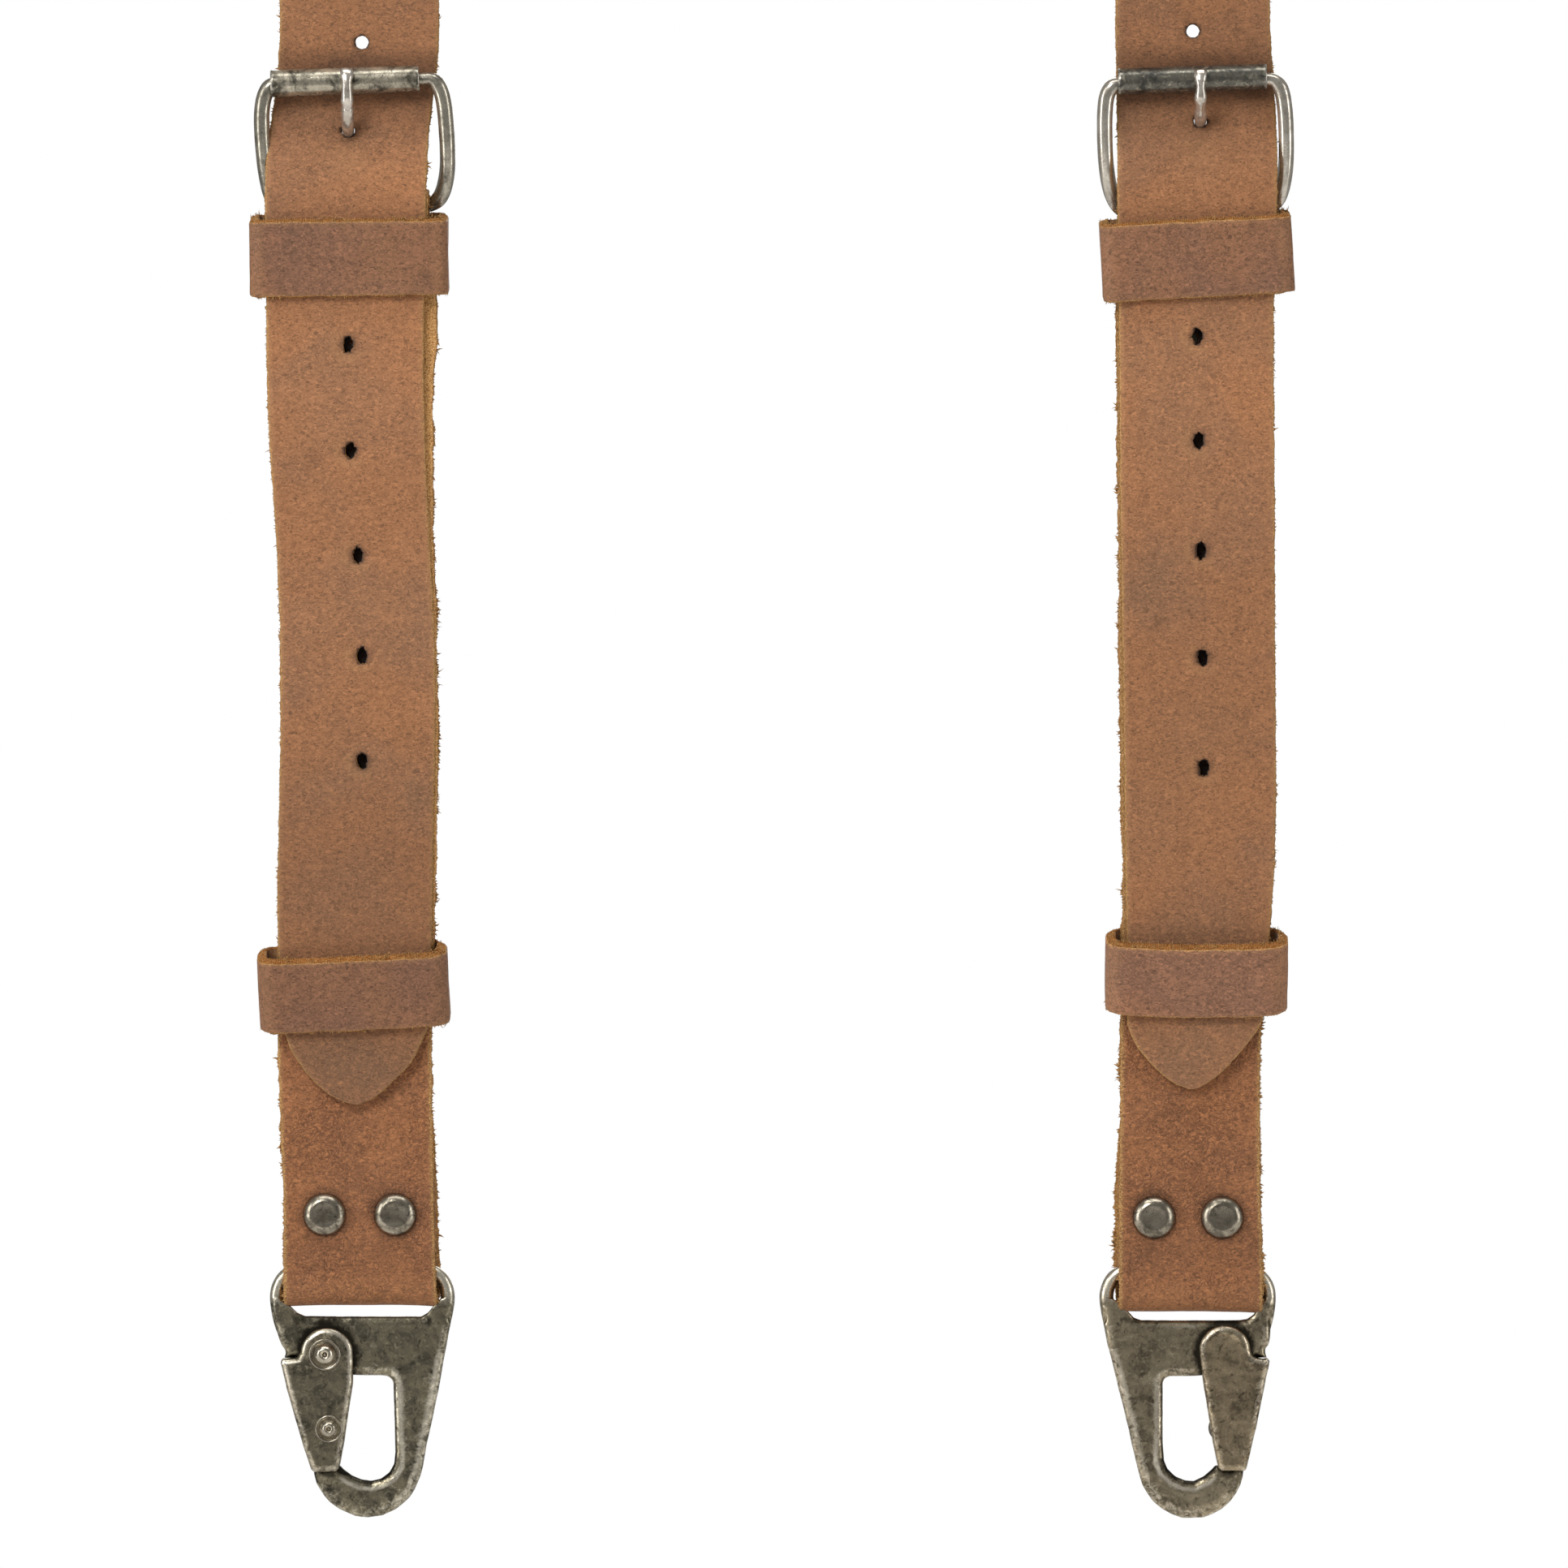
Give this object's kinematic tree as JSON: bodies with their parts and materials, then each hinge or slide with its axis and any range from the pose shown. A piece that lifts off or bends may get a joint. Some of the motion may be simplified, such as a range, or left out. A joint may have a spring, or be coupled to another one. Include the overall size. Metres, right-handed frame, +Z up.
{
  "type": "suspenders",
  "caption": "Leather trouser suspenders with roller buckles, sliding keepers, a riveted Y-shaped yoke and sprung clip hooks, hanging over a rail.",
  "frame": {"origin": "the middle of the top line of the rail that the suspenders hang on, on the underside of the shoulder straps", "axes": "+Z up along the hanging straps, +X to the right seen from the front, -Y towards the viewer of the front"},
  "size_m": [0.2102, 0.0674, 0.6491],
  "materials": {
    "strap_leather": "oiled full-grain, matt",
    "hook_strap_leather": "pebbled grain, matt",
    "keeper_leather": "worn, matt, with rough cut edges",
    "yoke_leather": "matt",
    "buckle_metal": "antique nickel, worn",
    "hook_metal": "antique nickel, dark patina",
    "rivet_metal": "antique nickel, satin",
    "spring_steel": "plain spring wire"
  },
  "bodies": {
    "straps": {"shoulder_strap_left": "strap_leather", "hook_strap_left": "hook_strap_leather", "buckle_fold_rivet_left": "rivet_metal", "hook_strap_rivet_left_a": "rivet_metal", "hook_strap_rivet_left_b": "rivet_metal", "shoulder_strap_right": "strap_leather", "hook_strap_right": "hook_strap_leather", "buckle_fold_rivet_right": "rivet_metal", "hook_strap_rivet_right_a": "rivet_metal", "hook_strap_rivet_right_b": "rivet_metal", "yoke": "yoke_leather", "rear_strap": "hook_strap_leather", "rear_strap_rivet_a": "rivet_metal", "rear_strap_rivet_b": "rivet_metal", "yoke_rivet_left_a": "rivet_metal", "yoke_rivet_left_b": "rivet_metal", "yoke_rivet_right_a": "rivet_metal", "yoke_rivet_right_b": "rivet_metal", "yoke_rivet_rear_left": "rivet_metal", "yoke_rivet_rear_right": "rivet_metal"},
    "buckle_left": {"buckle_frame_left": "buckle_metal"},
    "roller_left": {"buckle_roller_left": "buckle_metal"},
    "prong_left": {"buckle_prong_left": "buckle_metal"},
    "keeper_upper_left": {"keeper_upper_left": "keeper_leather"},
    "keeper_lower_left": {"keeper_lower_left": "keeper_leather"},
    "buckle_right": {"buckle_frame_right": "buckle_metal"},
    "roller_right": {"buckle_roller_right": "buckle_metal"},
    "prong_right": {"buckle_prong_right": "buckle_metal"},
    "keeper_upper_right": {"keeper_upper_right": "keeper_leather"},
    "keeper_lower_right": {"keeper_lower_right": "keeper_leather"},
    "hook_left": {"hook_frame_left": "hook_metal", "gate_pivot_left": "rivet_metal"},
    "gate_left": {"hook_gate_left": "hook_metal", "gate_cross_rivet_left": "rivet_metal", "gate_spring_left": "spring_steel"},
    "hook_right": {"hook_frame_right": "hook_metal", "gate_pivot_right": "rivet_metal"},
    "gate_right": {"hook_gate_right": "hook_metal", "gate_cross_rivet_right": "rivet_metal", "gate_spring_right": "spring_steel"},
    "hook_rear": {"hook_frame_rear": "hook_metal", "gate_pivot_rear": "rivet_metal"},
    "gate_rear": {"hook_gate_rear": "hook_metal", "gate_cross_rivet_rear": "rivet_metal", "gate_spring_rear": "spring_steel"}
  },
  "joints": [
    {"name": "buckle_hinge_left", "type": "hinge", "parent": "straps", "child": "buckle_left", "pos_m": [-0.0852, -0.0234, -0.3821], "axis": [1, 0, 0], "range_deg": [0, 2]},
    {"name": "roller_spin_left", "type": "hinge", "parent": "buckle_left", "child": "roller_left", "pos_m": [-0.0852, -0.03025, -0.3569], "axis": [1, 0, 0], "continuous": true},
    {"name": "prong_hinge_left", "type": "hinge", "parent": "buckle_left", "child": "prong_left", "pos_m": [-0.0852, -0.0234, -0.3821], "axis": [1, 0, 0], "range_deg": [0, 2]},
    {"name": "keeper_upper_left_slide", "type": "slide", "parent": "straps", "child": "keeper_upper_left", "axis": [0, 0, 1], "range_m": [-0.06, 0]},
    {"name": "keeper_lower_left_slide", "type": "slide", "parent": "straps", "child": "keeper_lower_left", "axis": [0, 0, 1], "range_m": [-0.008, 0.05]},
    {"name": "buckle_hinge_right", "type": "hinge", "parent": "straps", "child": "buckle_right", "pos_m": [0.0844, -0.0234, -0.3821], "axis": [1, 0, 0], "range_deg": [0, 2]},
    {"name": "roller_spin_right", "type": "hinge", "parent": "buckle_right", "child": "roller_right", "pos_m": [0.0844, -0.03025, -0.3569], "axis": [1, 0, 0], "continuous": true},
    {"name": "prong_hinge_right", "type": "hinge", "parent": "buckle_right", "child": "prong_right", "pos_m": [0.0844, -0.0234, -0.3821], "axis": [1, 0, 0], "range_deg": [0, 2]},
    {"name": "keeper_upper_right_slide", "type": "slide", "parent": "straps", "child": "keeper_upper_right", "axis": [0, 0, 1], "range_m": [-0.06, 0]},
    {"name": "keeper_lower_right_slide", "type": "slide", "parent": "straps", "child": "keeper_lower_right", "axis": [0, 0, 1], "range_m": [-0.008, 0.05]},
    {"name": "hook_swing_left", "type": "hinge", "parent": "straps", "child": "hook_left", "pos_m": [-0.0838, -0.0232, -0.5968], "axis": [1, 0, 0], "range_deg": [-120, 120]},
    {"name": "gate_hinge_left", "type": "hinge", "parent": "hook_left", "child": "gate_left", "pos_m": [-0.0912, -0.0232, -0.6141], "axis": [0, -1, 0], "range_deg": [0, 12], "stiffness_Nm_per_rad": 0.03, "springref_deg": -17.19, "deforming": ["gate_spring_left"]},
    {"name": "hook_swing_right", "type": "hinge", "parent": "straps", "child": "hook_right", "pos_m": [0.0832, -0.0232, -0.5968], "axis": [1, 0, 0], "range_deg": [-120, 120]},
    {"name": "gate_hinge_right", "type": "hinge", "parent": "hook_right", "child": "gate_right", "pos_m": [0.0906, -0.0232, -0.6141], "axis": [0, 1, 0], "range_deg": [0, 12], "stiffness_Nm_per_rad": 0.03, "springref_deg": -17.19, "deforming": ["gate_spring_right"]},
    {"name": "hook_swing_rear", "type": "hinge", "parent": "straps", "child": "hook_rear", "pos_m": [0, 0.0232, -0.2518], "axis": [1, 0, 0], "range_deg": [-120, 120]},
    {"name": "gate_hinge_rear", "type": "hinge", "parent": "hook_rear", "child": "gate_rear", "pos_m": [0.0074, 0.0232, -0.2691], "axis": [0, 1, 0], "range_deg": [0, 12], "stiffness_Nm_per_rad": 0.03, "springref_deg": -17.19, "deforming": ["gate_spring_rear"]}
  ]
}
